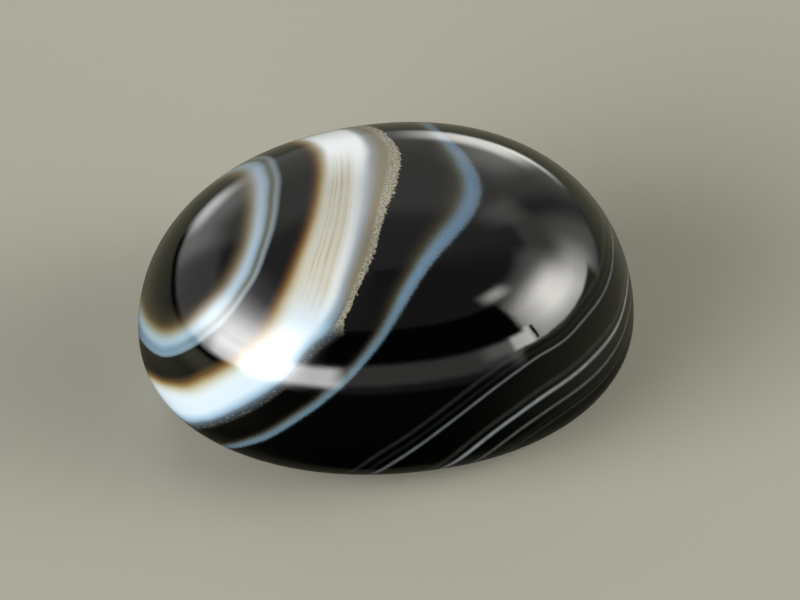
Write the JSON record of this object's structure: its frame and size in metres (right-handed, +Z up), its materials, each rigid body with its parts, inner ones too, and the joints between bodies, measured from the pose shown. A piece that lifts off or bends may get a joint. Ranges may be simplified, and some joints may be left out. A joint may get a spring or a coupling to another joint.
{
  "type": "polished banded agate stone",
  "caption": "Loose polished banded agate, near-black with curved white and brown bands, cut as a high oval dome that rests on a flat spot.",
  "frame": {"origin": "under the middle of the stone, on the surface it rests on", "axes": "+X along the stone's length towards its broader end, +Y across its width, +Z up through the crown"},
  "size_m": [0.025, 0.0198, 0.0124],
  "materials": {
    "polished_agate": "polished"
  },
  "bodies": {
    "root": {"agate_cabochon": "polished_agate"}
  },
  "joints": []
}
